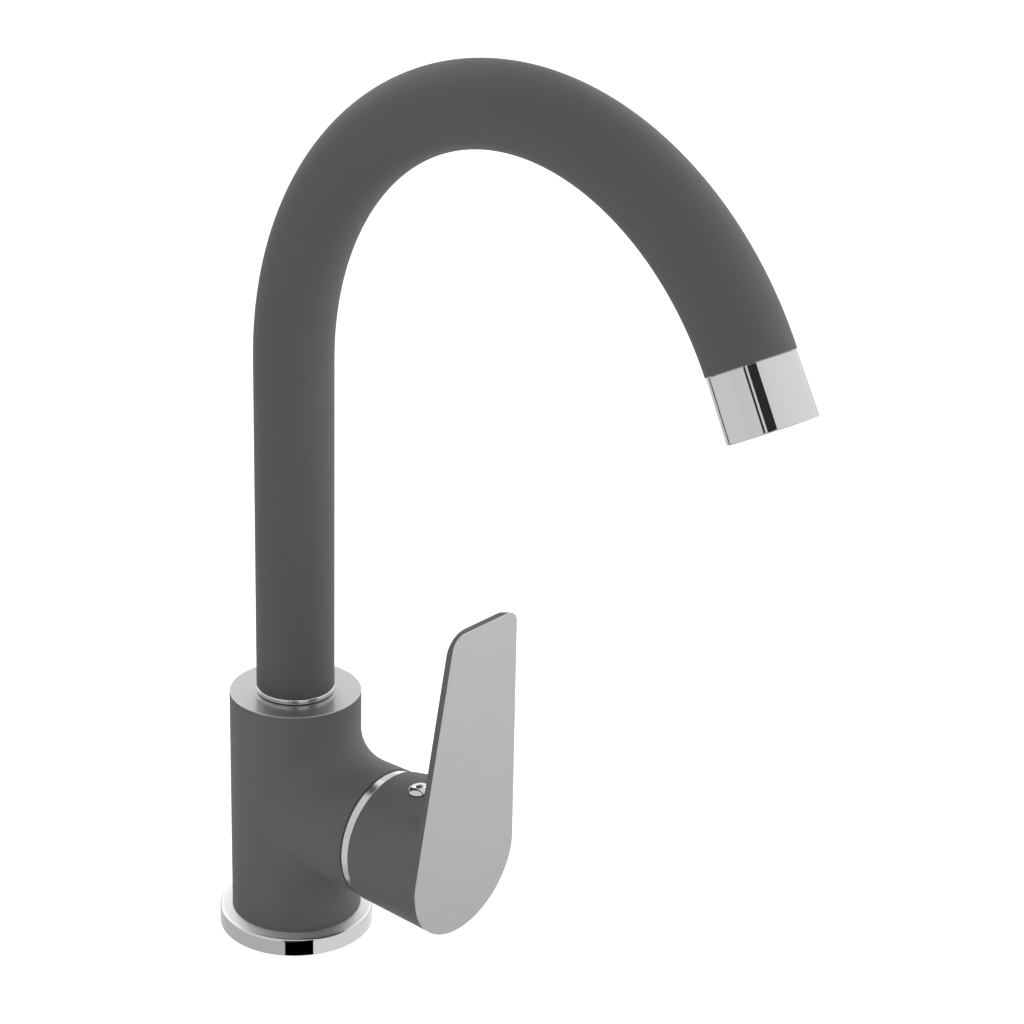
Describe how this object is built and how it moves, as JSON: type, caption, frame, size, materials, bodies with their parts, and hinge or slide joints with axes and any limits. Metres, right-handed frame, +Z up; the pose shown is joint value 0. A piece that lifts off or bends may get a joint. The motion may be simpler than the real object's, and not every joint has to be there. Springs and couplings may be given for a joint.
{
  "type": "kitchen mixer tap",
  "caption": "Deck-mounted kitchen mixer tap with a high swivelling gooseneck spout, an aerator, and a flat single lever on a side branch that tilts for flow and turns for temperature.",
  "frame": {"origin": "centre of the face that stands on the deck, on the upright body's axis", "axes": "+Z up along the body, -Y forward along the lever's branch, +X to the right seen from behind the lever looking out"},
  "size_m": [0.0629, 0.2507, 0.3406],
  "materials": {
    "dark_paint": "matt dark grey paint over a brass casting and tube",
    "lever_paint": "matt dark grey paint over a zinc casting",
    "chrome": "polished chrome plating",
    "satin_face": "light grey satin metal face",
    "steel": "plain steel",
    "brass": "bare machined brass",
    "black_rubber": "matt rubber",
    "white_plastic": "natural acetal",
    "grey_plastic": "moulded plastic",
    "ceramic": "lapped alumina ceramic",
    "blue_mark": "blue enamel"
  },
  "bodies": {
    "body": {"mixer_body": "dark_paint", "base_flange": "chrome", "deck_gasket": "black_rubber", "top_cap": "chrome", "spout_lock_screw": "steel", "collar_ring": "chrome", "cartridge_base": "grey_plastic", "base_seals": "black_rubber", "disc_seals": "black_rubber", "fixed_disc": "ceramic", "cartridge_housing": "white_plastic", "cartridge_nut": "brass"},
    "spout": {"spout_tube": "dark_paint", "spout_foot_ring": "chrome", "spout_stem": "brass", "stem_o_rings": "black_rubber", "stem_slide_rings": "white_plastic", "outlet_nipple": "brass", "aerator_sleeve": "chrome", "aerator_washer": "black_rubber", "aerator_insert": "white_plastic", "aerator_screens": "steel"},
    "rotor": {"cartridge_rotor": "grey_plastic", "lever_pin": "steel"},
    "lever": {"spindle": "steel", "lever_handle": "lever_paint", "lever_face": "satin_face", "lever_grub_screw": "steel", "index_plug": "chrome", "index_mark": "blue_mark"},
    "disc_slider": {"disc_carrier": "white_plastic", "moving_disc": "ceramic"}
  },
  "joints": [
    {"name": "spout_swivel", "type": "hinge", "parent": "body", "child": "spout", "pos_m": [0, 0, 0.094], "axis": [0, 0, 1], "continuous": true},
    {"name": "temperature_turn", "type": "hinge", "parent": "body", "child": "rotor", "pos_m": [0, -0.0307, 0.0513], "axis": [0, -1, 0], "range_deg": [-50, 50]},
    {"name": "lever_tilt", "type": "hinge", "parent": "rotor", "child": "lever", "pos_m": [0, -0.0415, 0.0513], "axis": [1, 0, 0], "range_deg": [0, 20]},
    {"name": "disc_slide", "type": "slide", "parent": "rotor", "child": "disc_slider", "axis": [0, 0, 1], "range_m": [0, 0.0044]}
  ],
  "couplings": [
    {"joint": "disc_slide", "follows": "lever_tilt", "m_per_rad": 0.0123}
  ]
}
